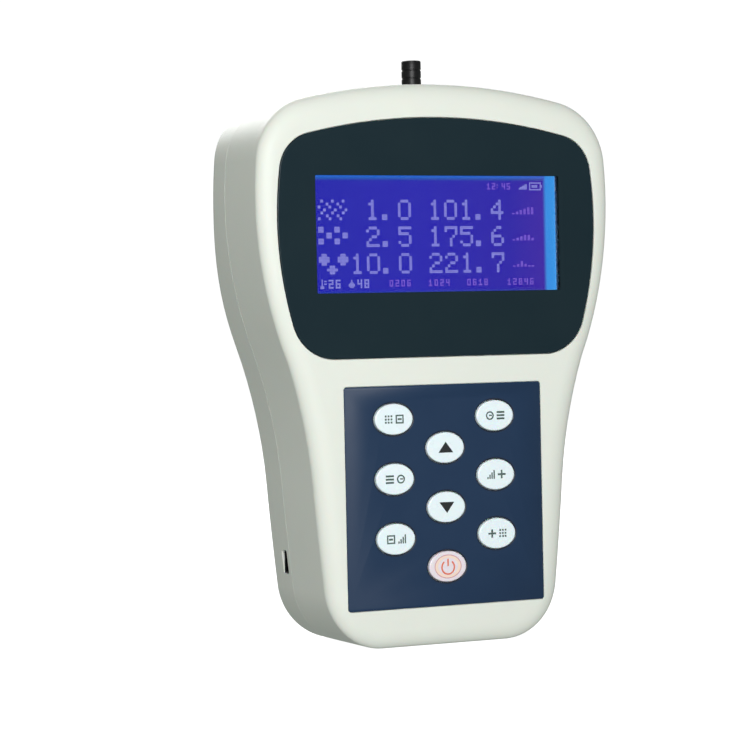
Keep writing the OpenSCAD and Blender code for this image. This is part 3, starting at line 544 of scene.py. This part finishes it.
def make_front_shell():
    skin = Skin()
    outer = rounded_edge(skin, 0, 0, 1, front_edge, draft, EDGE_FLATNESS, 18)
    hold = skin.lay(case_path, lambda p: draft(p) + front_edge(p) + 0.4, 0)
    inner = rounded_edge(skin, WALL, FACE_WALL, 1, inner_edge, draft, EDGE_FLATNESS, 4)
    skin.stack([hold, *outer, skin.lay(case_path, 0, SEAM_D - SEAM_BEVEL),
                skin.lay(case_path, SEAM_BEVEL, SEAM_D - 0.03),
                skin.lay(case_path, WALL, SEAM_D - 0.03), *reversed(inner)])
    skin.fill(hold)
    skin.fill(inner[0])
    body = skin.done("front_shell_skin", shell_plastic)
    cutter = Skin()
    well(cutter, window_path, 0, RECESS_D, 0.3)
    well(cutter, box_outline(PANEL_W + 0.3, PANEL_H + 0.3, 1.15, 0, PANEL_Z), 0, PANEL_RECESS, 0.2)
    combine(body, cutter.done("cutter"), "DIFFERENCE")
    cutter = Skin()
    cutter.prism(box_outline(LIT_W + 2.8, LIT_H + 2.8, 1, 0, DISPLAY_Z), 0.5, FACE_WALL + 1)
    for key in KEYS:
        x, z = key_centre(key)
        cutter.prism(oval(KEY_W + 2 * KEY_GAP, KEY_H + 2 * KEY_GAP, x, z, 64), -1, FACE_WALL + 1)
    combine(body, cutter.done("cutter"), "DIFFERENCE")
    cutter = Skin()
    upright_plug(cutter, NOZZLE_HOLE_R, CASE_H - 6, CASE_H + 2)
    combine(body, cutter.done("cutter"), "DIFFERENCE")
    return rides(even(body), "case", ["front_shell"])


def upright_plug(skin, r, low, high):
    """A solid round bar on the nozzle's axis."""
    rings = [skin.ring(circle(r, z, 48)) for z in (low, high)]
    skin.stack(rings)
    for ring in rings:
        skin.bm.faces.new(ring)


def back_edge(p):
    """Radius of the back edge: fuller down the sides of the head."""
    side = smooth((p[1] - BACK_BLEND_LOW) / BACK_BLEND_LENGTH) * p[2] ** 8
    return BACK_EDGE + (HEAD_BACK_EDGE - BACK_EDGE) * side


def inner_back_edge(p):
    return back_edge(p) - WALL


def no_draft(_):
    return 0


def make_rear_shell():
    skin = Skin()
    outer = rounded_edge(skin, 0, CASE_D, -1, back_edge, no_draft, 1, 14)
    hold = skin.lay(case_path, lambda p: back_edge(p) + 0.4, CASE_D)
    inner = rounded_edge(skin, WALL, CASE_D - WALL, -1, inner_back_edge, no_draft, 1, 5)
    skin.stack([hold, *outer, skin.lay(case_path, 0, SEAM_D + SEAM_BEVEL),
                skin.lay(case_path, SEAM_BEVEL, SEAM_D + 0.03),
                skin.lay(case_path, WALL, SEAM_D + 0.03), *reversed(inner)])
    skin.fill(hold)
    skin.fill(inner[0])
    body = skin.done("rear_shell_skin", shell_plastic)
    bosses = Skin()
    for x, z in SCREWS:
        bosses.prism(oval(BOSS_W, BOSS_W, x, z, 48), SEAM_D + 0.1, CASE_D - 1.2)
    combine(body, bosses.done("bosses"), "UNION")
    cutter = Skin()
    for x, z in SCREWS:
        well(cutter, oval(WELL_W, WELL_W, x, z, 64), CASE_D, CASE_D - WELL_DEPTH, 0.35, -1)
    for k in range(VENTS):
        z = VENT_Z + VENT_PITCH * (k - (VENTS - 1) / 2)
        slot = box_outline(2 * (VENT_HALF + VENT_R), 2 * VENT_R, VENT_R * 0.999, 0, z, 8)
        well(cutter, slot, CASE_D, CASE_D - WALL - 1, 0.25, -1)
    label = box_outline(LABEL_W + 0.6, LABEL_H + 0.6, 1.5, 0, LABEL_Z)
    well(cutter, label, CASE_D, CASE_D - 0.3, 0.15, -1)
    well(cutter, door_outline(0.3), CASE_D, CASE_D - WALL - 1, 0.3, -1)
    combine(body, cutter.done("cutter"), "DIFFERENCE")
    cutter = Skin()
    for x, z in SCREWS:
        cutter.prism(oval(SCREW_HOLE_W, SCREW_HOLE_W, x, z, 32), SEAM_D - 1, CASE_D - 6)
    combine(body, cutter.done("cutter"), "DIFFERENCE")
    combine(body, make_slot_cutter(), "DIFFERENCE")
    return rides(even(body), "case", ["rear_shell"])


def make_slot_cutter():
    """Rounded upright slot for the socket, through the left wall."""
    skin = Skin()
    slot = box_outline(2 * SLOT_HALF_D, 2 * SLOT_HALF_H, 0.8, SOCKET_D, SOCKET_Z)
    rings = [skin.ring([point(x, d, z) for d, z, _, _ in slot]) for x in (-60, -40)]
    skin.stack(rings)
    for ring in rings:
        skin.bm.faces.new(ring)
    return skin.done("cutter")


def door_outline(gap):
    """The door with its thumb tab, grown by gap."""
    w, t = DOOR_HALF + gap, TAB_HALF + gap
    low, top, tab = DOOR_LOW + 0.3 - gap, DOOR_TOP + 0.1 + gap, DOOR_TOP + TAB_H + gap
    steps = [(t, tab), (t, top), (w, top), (w, low), (-w, low), (-w, top), (-t, top), (-t, tab)]
    return filleted(steps, 0.8)


def make_door():
    thickness, edge = 2.3, 0.35
    skin = Skin()
    path = door_outline(0)
    rings = [skin.lay(path, 0, CASE_D - thickness)]
    for k in range(5):
        a = pi / 2 * k / 4
        rings.append(skin.lay(path, edge * (1 - cos(a)), CASE_D - edge * (1 - sin(a))))
    skin.stack(rings)
    skin.fill(rings[0])
    skin.fill(rings[-1])
    door = skin.done("battery_door_skin", shell_plastic)
    hooks = Skin()
    hook_x, hook_w, hook_d = 17.8, 3, CASE_D - 4.4
    for x in (-hook_x - hook_w / 2, hook_x - hook_w / 2):
        hooks.block((x, hook_d, DOOR_LOW + 0.3), (hook_w, 2.4, 2))
        hooks.block((x, hook_d, DOOR_LOW - 3.2), (hook_w, 1.5, 4))
    combine(door, hooks.done("hooks"), "UNION", 30)
    grooves = Skin()
    groove_w, groove_h, groove_pitch = 18, 1.2, 2.4
    for k in range(5):
        path = box_outline(groove_w, groove_h, 0.59, 0, DOOR_TOP - 5.4 - groove_pitch * k)
        well(grooves, path, CASE_D, CASE_D - 0.6, 0.12, -1)
    combine(door, grooves.done("cutter"), "DIFFERENCE", 30)
    return rides(even(door), "battery_door", ["battery_door"])


# ---- Window and display ----

def make_lens():
    edge = 0.3
    skin = Skin()
    rings = [skin.lay(window_path, 0.2, RECESS_D)]
    for k in range(5):
        a = pi / 2 * k / 4
        rings.append(skin.lay(window_path, 0.2 + edge * (1 - cos(a)), LENS_D + edge * (1 - sin(a))))
    rings.append(skin.lay(window_path, 0.8, LENS_D))
    skin.stack(rings)
    clear = box_outline(LIT_W, LIT_H, 0.5, 0, DISPLAY_Z)
    front, back = skin.lay(clear, 0, LENS_D), skin.lay(clear, 0, RECESS_D)
    skin.fill(rings[-1], [front])
    skin.fill(rings[0], [back])
    skin.fill(front, (), 1)
    skin.fill(back, (), 1)
    lens = skin.done("display_lens_skin", window_print, window_clear)
    return rides(lens, "case", ["display_lens"])


DIGITS = {
    "0": "01110 10001 10001 10001 10001 10001 01110", "1": "00100 01100 00100 00100 00100 00100 01110",
    "2": "01110 10001 00001 00110 01000 10000 11111", "4": "00010 00110 01010 10010 11111 00010 00010",
    "5": "11111 10000 11110 00001 00001 10001 01110", "6": "00110 01000 10000 11110 10001 10001 01110",
    "7": "11111 10001 00001 00010 00100 00100 00100", ".": "00000 00000 00000 00000 00000 11000 11000",
}
SMALL_DIGITS = {
    "0": "111 101 101 101 111", "2": "111 001 111 100 111", "4": "101 101 111 001 001",
    "5": "111 100 111 001 111", "6": "111 100 111 101 111", "8": "111 101 111 101 111",
    "1": "010 110 010 010 111", ":": "0 1 0 1 0",
}
DUST = [
    "01000100010 00010001000 10001000100 00100010001 01000100010 00010001000 10001000100",
    "11000011000 11000011000 00011000011 00011000011 11000011000 11000011000 00000000000",
    "01100000110 11110001111 11110001111 01100000110 00001100000 00011110000 00001100000"]
LEVELS = [
    "00000000000011011 00000000011011011 00000011011011011 00011011011011011 11011011011011011",
    "00000000000000000 00000000011011000 00000011011011000 00011011011011011 11011011011011011",
    "00000000000000000 00000011000000000 00000011000000000 00011011011000000 11011011011011011"]
ICONS = {
    "battery": "11111111110 10000000010 10111110011 10111110011 10000000010 11111111110",
    "bars": "0000011 0001111 0111111 1111111", "drop": "00100 00100 01110 11111 11111 01110",
    "heat": "01000 01011 01000 01011 01000 11100 11100",
}
# Sizes of a dot, depth of the display's face, and how far the picture lies right of its middle
PIXEL, SMALL_PIXEL, FOOTER_PIXEL = 0.49, 0.46, 0.6
LCD_FRONT = 4.3
PICTURE_SHIFT = 1.7


def dots(skin, rows, u, v, pixel, repeat=1, mat=0):
    """Sets the pixels of a dot picture: left edge and middle at shares u and v of the display."""
    rows = rows.split()
    left = (u - 0.5) * LIT_W + PICTURE_SHIFT
    top = DISPLAY_Z + (0.5 - v) * LIT_H + len(rows) * repeat * pixel / 2
    side = pixel * 0.86
    for j, row in enumerate(rows):
        for i, mark in enumerate(row):
            if mark == "1":
                for a in range(repeat):
                    for b in range(repeat):
                        x = left + (i * repeat + a) * pixel
                        z = top - (j * repeat + b + 1) * pixel
                        skin.block((x, LCD_FRONT - 0.03, z), (side, 0.04, side), mat)


def words(skin, text, u, v, pixel, font, advance, repeat=1, mat=0):
    for k, letter in enumerate(text):
        if letter in font:
            dots(skin, font[letter], u + k * advance, v, pixel, repeat, mat)


def make_picture():
    """Everything that the display shows: three rows of readings, a status line and a footer."""
    lit = glow("lit_pixel", rgb(156, 152, 222), 0.95, rgb(136, 134, 212))
    faint = glow("faint_pixel", rgb(140, 92, 214), 0.9, rgb(122, 74, 204))
    skin = Skin()
    rows = [(0.29, " 1.0", "101.4"), (0.52, " 2.5", "175.6"), (0.75, "10.0", "221.7")]
    cell = 0.065
    for k, (v, size, value) in enumerate(rows):
        dots(skin, DUST[k], 0.008, v, PIXEL, 2)
        words(skin, size, 0.135, v, PIXEL, DIGITS, cell, 2)
        words(skin, value, 0.455, v, PIXEL, DIGITS, cell, 2)
        dots(skin, LEVELS[k], 0.805, v + 0.01, PIXEL, 1, 1)
    words(skin, "12:45", 0.70, 0.085, SMALL_PIXEL, SMALL_DIGITS, 0.021, 1, 1)
    dots(skin, ICONS["bars"], 0.835, 0.09, SMALL_PIXEL)
    dots(skin, ICONS["battery"], 0.88, 0.085, SMALL_PIXEL)
    dots(skin, ICONS["heat"], 0.012, 0.92, SMALL_PIXEL)
    words(skin, "26", 0.045, 0.92, FOOTER_PIXEL, SMALL_DIGITS, 0.028)
    dots(skin, ICONS["drop"], 0.125, 0.92, SMALL_PIXEL)
    words(skin, "48", 0.16, 0.92, FOOTER_PIXEL, SMALL_DIGITS, 0.028)
    for u, number in ((0.29, "0206"), (0.45, "1024"), (0.61, "0618"), (0.78, "12846")):
        words(skin, number, u, 0.92, SMALL_PIXEL, SMALL_DIGITS, 0.024, 1, 1)
    return rides(skin.done("display_picture", lit, faint), "case")


# ---- Keypad ----

def key_centre(key):
    low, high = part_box(key)
    return (low.x + high.x) / 2 / MM, (low.z + high.z) / 2 / MM


def make_overlay():
    # Width of the darker band round each key hole, which is painted shade of the gap round the key
    rim = 0.45
    bevel = 0.08
    skin = Skin()
    back = skin.lay(panel_path, 0, PANEL_RECESS)
    side = skin.lay(panel_path, 0, LENS_D + bevel)
    front = skin.lay(panel_path, bevel, LENS_D)
    skin.stack([back, side, front])
    fronts, backs = [], []
    for key in KEYS:
        hole = oval(KEY_W + 2 * KEY_GAP, KEY_H + 2 * KEY_GAP, *key_centre(key))
        outer, edge, wall, foot = (skin.lay(hole, -rim, LENS_D), skin.lay(hole, -bevel, LENS_D),
                                   skin.lay(hole, 0, LENS_D + bevel), skin.lay(hole, 0, PANEL_RECESS))
        # Material 1 paints the shade of the gap round the key on this band and down the hole's wall
        skin.stack([outer, edge, wall, foot], 1)
        fronts.append(outer)
        backs.append(foot)
    skin.fill(front, fronts)
    skin.fill(back, backs)
    return rides(skin.done("keypad_overlay_skin", navy_film, gap_shade_navy, sharp=60), "case",
                 ["keypad_overlay"])


# Keys: rounding of the rim, rise of the crown, height of the legends over the cap, depth of the
# flange that holds the key in, its overhang, its thickness, and the stem behind it
EDGE_ROUND = 0.45
CROWN = 0.06
INLAY_RISE = 0.02
FLANGE_D, FLANGE_OVER, FLANGE_T = 3.3, 1.2, 1
STEM_W, STEM_L = 3.2, 2
# Marks on the six outer keys: stroke, height, and distance from the key's middle
MARK_LINE, MARK_H, MARK_X = 0.5, 3.0, 2.05


def cap_depth(share):
    """Depth of a key's top at a share of the way from its middle to its rim."""
    flat_share = 1 - 2 * EDGE_ROUND / KEY_H
    rise = CROWN * min(share, flat_share) ** 2
    if share > flat_share:
        t = (share - flat_share) / (1 - flat_share)
        rise += EDGE_ROUND * (1 - sqrt(max(0, 1 - t * t)))
    return rise - KEY_PROUD


def make_key(key):
    x, z = key_centre(key)
    path = oval(KEY_W, KEY_H, x, z)
    skin = Skin()
    wide = oval(KEY_W + 2 * FLANGE_OVER, KEY_H + 2 * FLANGE_OVER, x, z)
    back = FLANGE_D + FLANGE_T
    rings = [skin.lay(wide, 0, back), skin.lay(wide, 0, FLANGE_D), skin.lay(path, 0, FLANGE_D)]
    shares = [1, 0.998, 0.99, 0.975, 0.96, 0.94, 0.925, 0.91, 0.85, 0.7, 0.5, 0.3, 0.12]
    for s in shares:
        top = cap_depth(s)
        rings.append(skin.ring([point(x + (p[0] - x) * s, top, z + (p[1] - z) * s) for p in path]))
    skin.stack(rings)
    skin.fan(rings[-1], point(x, cap_depth(0), z))
    skin.fill(rings[0])
    skin.prism(oval(STEM_W, STEM_W, x, z, 32), back, back + STEM_L)
    cap = power_plastic if key == "key_power" else key_plastic
    return rides(skin.done(key + "_cap", cap), key, [key])


def on_cap(skin, outline, key, holes=(), mat=0, rise=INLAY_RISE):
    """Inlays a shape, given by points (x, z) from the key's middle. It follows the cap's crown."""
    cx, cz = key_centre(key)

    def ring(points, lift):
        return skin.ring([point(cx + x, cap_depth(hypot(2 * x / KEY_W, 2 * z / KEY_H)) + lift, cz + z)
                          for x, z in points])

    rings = [[ring(loop, lift) for lift in (0.06, -rise)] for loop in (outline, *holes)]
    for deep, top in rings:
        skin.band(deep, top, mat)
    skin.fill(rings[0][1], [r[1] for r in rings[1:]], mat)
    skin.fill(rings[0][0], [r[0] for r in rings[1:]], mat)


def ring_points(r, n=40):
    return [(r * sin(2 * pi * k / n), r * cos(2 * pi * k / n)) for k in range(n)]


def bar(skin, key, x, z, w, h):
    on_cap(skin, corners(x, z, w, h), key)


def dial(skin, key, x):
    outer, inner = ring_points(MARK_H / 2), ring_points(MARK_H / 2 - MARK_LINE)
    on_cap(skin, [(x + a, b) for a, b in outer], key, [[(x + a, b) for a, b in inner]])
    bar(skin, key, x + 0.25, 0.05, 1.1, MARK_LINE)


def lines(skin, key, x):
    for z in (-1.1, 0, 1.1):
        bar(skin, key, x, z, MARK_H, MARK_LINE * 1.3)


def box(skin, key, x):
    inside = MARK_H - 2 * MARK_LINE
    on_cap(skin, corners(x, 0, MARK_H, MARK_H), key, [corners(x, 0, inside, inside)])
    bar(skin, key, x, 0, MARK_H * 0.5, MARK_LINE * 1.3)


def steps(skin, key, x):
    for k in range(4):
        tall = MARK_H * (k + 1) / 4
        bar(skin, key, x + (k - 1.5) * 0.8, (tall - MARK_H) / 2, 0.5, tall)


def grid(skin, key, x):
    for i in (-1, 0, 1):
        for j in (-1, 0, 1):
            bar(skin, key, x + 1.05 * i, 1.05 * j, 0.65, 0.65)


def cross(skin, key, x):
    bar(skin, key, x, 0, MARK_H, MARK_LINE * 1.3)
    for z in (-0.9, 0.9):
        bar(skin, key, x, z, MARK_LINE * 1.3, 1.1)


MARKS = {
    "key_left_top": (grid, box), "key_left_middle": (lines, dial), "key_left_bottom": (box, steps),
    "key_right_top": (dial, lines), "key_right_middle": (steps, cross),
    "key_right_bottom": (cross, grid)}


def legend(key):
    """Two small generic marks side by side."""
    skin = Skin()
    for x, mark in zip((-MARK_X, MARK_X), MARKS[key]):
        mark(skin, key, x)
    return rides(skin.done(key + "_legend", grey_ink), key)


def arrow_legend(key, way):
    skin = Skin()
    half, high = 2.8, 2.0
    foot = -way * high * 0.85
    on_cap(skin, [(0, way * high), (way * half, foot), (-way * half, foot)], key)
    return rides(skin.done(key + "_legend", black_ink), key)


def power_legend(key):
    """The usual broken ring with a bar, on a warm oval with a fine line round it."""
    skin = Skin()
    r, line, open_half = 2.35, 0.55, 38
    a0, a1 = radians(open_half), radians(360 - open_half)
    arc = [a0 + (a1 - a0) * k / 40 for k in range(41)]
    outer = [((r + line / 2) * sin(a), (r + line / 2) * cos(a) - 0.25) for a in arc]
    inner = [((r - line / 2) * sin(a), (r - line / 2) * cos(a) - 0.25) for a in reversed(arc)]
    on_cap(skin, outer + inner, key)
    bar(skin, key, 0, 1.35, line, 2.5)
    w, h = KEY_W / 2 * 0.72, KEY_H / 2 * 0.78
    fine = 0.3
    loop = ring_points(1, 72)
    inside = [(x * (w - fine), z * (h - fine)) for x, z in loop]
    on_cap(skin, [(x * w, z * h) for x, z in loop], key, [inside], 1)
    on_cap(skin, inside, key, (), 2, INLAY_RISE / 2)
    return rides(skin.done(key + "_legend", red_ink, rose_ink, warm_ink), key)


# ---- Nozzle ----

def make_nozzle():
    base, tip, bore, shank = CASE_H + 0.6, CASE_H + NOZZLE_H, 1.6, 2.5
    low, shoulder, groove = CASE_H - 14, CASE_H - 7.5, NOZZLE_R - 0.22
    profile = [(bore, low), (2.1, low), (2.1, shoulder), (shank, shoulder), (shank, base)]
    profile += [(NOZZLE_R - 0.15, base), (NOZZLE_R, base + 0.15)]
    for z in (base + 2.4, base + 5.2):
        profile += [(NOZZLE_R, z), (groove, z + 0.16), (groove, z + 0.5), (NOZZLE_R, z + 0.66)]
    profile += [(NOZZLE_R, tip - 0.4), (NOZZLE_R - 0.12, tip - 0.12), (NOZZLE_R - 0.4, tip)]
    profile += [(bore + 0.25, tip), (bore, tip - 0.25)]
    skin = Skin()
    turned(skin, profile)
    nozzle = skin.done("inlet_nozzle_skin", black_metal, sharp=30)
    return rides(nozzle, "case", ["inlet_nozzle"])


def make_seal():
    """A flat washer with a rounded rim, seated on the crown."""
    low, high, r, hole, soft = CASE_H + 0.02, CASE_H + 0.6, NOZZLE_R + 0.4, 2.52, 0.2
    profile = [(hole, low), (r, low), (r, high - soft), (r - soft * 0.3, high - soft * 0.3)]
    profile += [(r - soft, high), (hole, high)]
    skin = Skin()
    turned(skin, profile)
    return rides(skin.done("nozzle_seal_skin", rubber, sharp=30), "case", ["nozzle_seal"])


# ---- Stage, light and camera ----

def make_camera():
    azimuth, elevation, roll = radians(-25), radians(1.245), radians(-1.201)
    target, distance = Vector((-0.01586, -0.0014, 0.09169)), 0.8904
    back = Vector((sin(azimuth) * cos(elevation), -cos(azimuth) * cos(elevation), sin(elevation)))
    right = (-back).cross(Vector((0, 0, 1))).normalized()
    up = right.cross(-back)
    turned_right = right * cos(roll) + up * sin(roll)
    turned_up = up * cos(roll) - right * sin(roll)
    data = bpy.data.cameras.new("camera")
    data.lens, data.sensor_width = 124.6, 36
    data.clip_start, data.clip_end = 0.01, 20
    camera = bpy.data.objects.new("camera", data)
    bpy.context.scene.collection.objects.link(camera)
    turn = Matrix((turned_right, turned_up, back)).transposed().to_4x4()
    camera.matrix_world = Matrix.Translation(target + back * distance) @ turn
    bpy.context.scene.camera = camera


def make_light(name, azimuth, elevation, distance, size, power):
    """A round soft light that aims at the object. Azimuth 0 is in front, and 90 to the right.
    Angles are in degrees, distance and size in metres, and power in watts."""
    data = bpy.data.lights.new(name, "AREA")
    data.shape, data.size, data.energy = "DISK", size, power
    light = bpy.data.objects.new(name, data)
    bpy.context.scene.collection.objects.link(light)
    a, e = radians(azimuth), radians(elevation)
    away = Vector((sin(a) * cos(e), -cos(a) * cos(e), sin(e)))
    light.location = Vector((0, 0, 0.1)) + away * distance
    light.rotation_euler = away.to_track_quat("Z", "Y").to_euler()
    light.visible_camera = False


def make_stage():
    """A pale round floor that curves up into a wall. It gives its own white. It is hidden from
    diffuse, glossy and shadow rays, so that the world lights the object through it."""
    flat, bend, high, n = 2.6, 0.8, 3.5, 96
    profile = [(0.02, 0), (0.3, 0), (flat, 0)]
    curve = [pi / 2 * k / 10 for k in range(1, 11)]
    profile += [(flat + bend * sin(a), bend * (1 - cos(a))) for a in curve]
    profile.append((flat + bend, high))
    skin = Skin()
    turns = [2 * pi * k / n for k in range(n)]
    rings = [skin.ring([(r * sin(a), r * cos(a), z) for a in turns]) for r, z in profile]
    skin.stack(rings)
    skin.bm.faces.new(rings[0])
    paper = Finish("paper", (0.5, 0.5, 0.5, 1), 0.9).tint(300, (0.47, 0.47, 0.47, 1))
    paper.shader.inputs["Emission Color"].default_value = (1, 1, 1, 1)
    paper.shader.inputs["Emission Strength"].default_value = 0.93
    floor = skin.done("floor", paper.material, sharp=180)
    floor.visible_diffuse = floor.visible_glossy = floor.visible_shadow = False


def make_world():
    """Soft light from all round, brighter from below, as a pale floor throws it back."""
    below, above = 0.39, 0.12
    world = bpy.data.worlds.new("world")
    bpy.context.scene.world = world
    world.use_nodes = True
    nodes, links = world.node_tree.nodes, world.node_tree.links
    direction = nodes.new("ShaderNodeTexCoord")
    axes = nodes.new("ShaderNodeSeparateXYZ")
    spread = nodes.new("ShaderNodeMapRange")
    spread.inputs["From Min"].default_value = -1
    spread.inputs["To Min"].default_value = below
    spread.inputs["To Max"].default_value = above
    links.new(direction.outputs["Generated"], axes.inputs["Vector"])
    links.new(axes.outputs["Z"], spread.inputs["Value"])
    links.new(spread.outputs["Result"], nodes["Background"].inputs["Strength"])
    nodes["Background"].inputs["Color"].default_value = (0.94, 1, 0.96, 1)


make_camera()
make_stage()
make_world()
make_light("key", azimuth=-18, elevation=13, distance=0.9, size=0.45, power=6.8)
make_light("rear", azimuth=175, elevation=35, distance=1.4, size=1.0, power=16)
bpy.context.scene.view_settings.view_transform = "Standard"

finish_cad_nodes()
make_front_shell()
make_rear_shell()
make_door()
make_lens()
make_picture()
make_overlay()
for name in KEYS:
    make_key(name)
    if name in ("key_up", "key_down"):
        arrow_legend(name, 1 if name == "key_up" else -1)
    elif name == "key_power":
        power_legend(name)
    else:
        legend(name)
make_nozzle()
make_seal()
